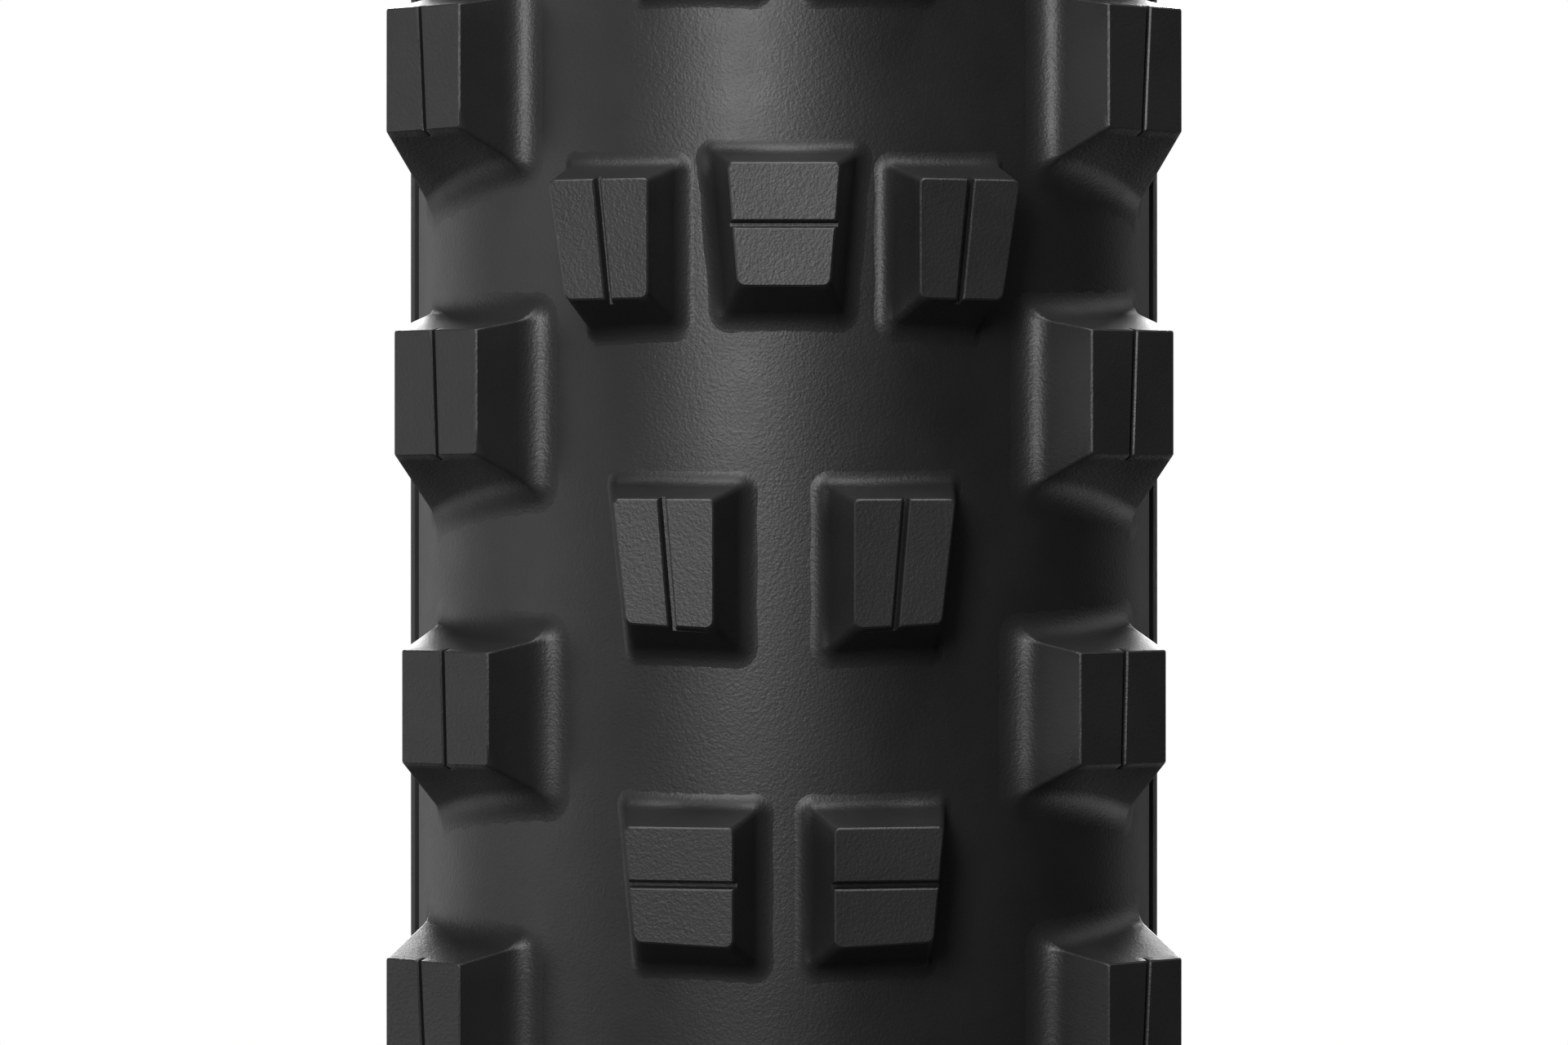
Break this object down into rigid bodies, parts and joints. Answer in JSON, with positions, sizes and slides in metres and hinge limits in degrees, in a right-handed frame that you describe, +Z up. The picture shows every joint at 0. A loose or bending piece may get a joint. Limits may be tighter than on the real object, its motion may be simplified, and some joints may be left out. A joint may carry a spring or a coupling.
{
  "type": "motorcycle tire",
  "caption": "Knobbed off-road tyre, bare: casing plies, wire beads, liner, chafers, sidewalls and a tread of separate siped knobs in repeating rows.",
  "frame": {"origin": "centre of the wheel, on its axis, midway between the beads", "axes": "+Y is the wheel axis, +Z is up with the tyre standing, +X is across the wheel plane; left nodes are on the -Y side"},
  "size_m": [0.7532, 0.0636, 0.7538],
  "materials": {
    "tread_rubber": "satin moulded rubber with a fine leathery grain",
    "sidewall_rubber": "smooth satin moulded rubber",
    "chafer_rubber": "matt rubberised weave",
    "liner_rubber": "smooth matt rubber",
    "filler_rubber": "hard matt rubber",
    "ply_fabric": "rubberised nylon cord",
    "breaker_fabric": "rubberised woven cord",
    "bead_wire": "bundle of plated steel wire"
  },
  "bodies": {
    "root": {"inner_liner": "liner_rubber", "casing_ply_inner": "ply_fabric", "casing_ply_outer": "ply_fabric", "tread_breaker": "breaker_fabric", "tread_base": "tread_rubber", "bead_core_left": "bead_wire", "bead_core_right": "bead_wire", "bead_filler_left": "filler_rubber", "bead_filler_right": "filler_rubber", "chafer_left": "chafer_rubber", "chafer_right": "chafer_rubber", "sidewall_left": "sidewall_rubber", "sidewall_right": "sidewall_rubber", "centre_knobs": "tread_rubber", "row_a_knobs_left": "tread_rubber", "row_a_knobs_right": "tread_rubber", "row_b_knobs_left": "tread_rubber", "row_b_knobs_right": "tread_rubber", "row_c_knobs_left": "tread_rubber", "row_c_knobs_right": "tread_rubber", "shoulder_1_knobs_left": "tread_rubber", "shoulder_1_knobs_right": "tread_rubber", "shoulder_2_knobs_left": "tread_rubber", "shoulder_2_knobs_right": "tread_rubber", "shoulder_3_knobs_left": "tread_rubber", "shoulder_3_knobs_right": "tread_rubber"}
  },
  "joints": []
}
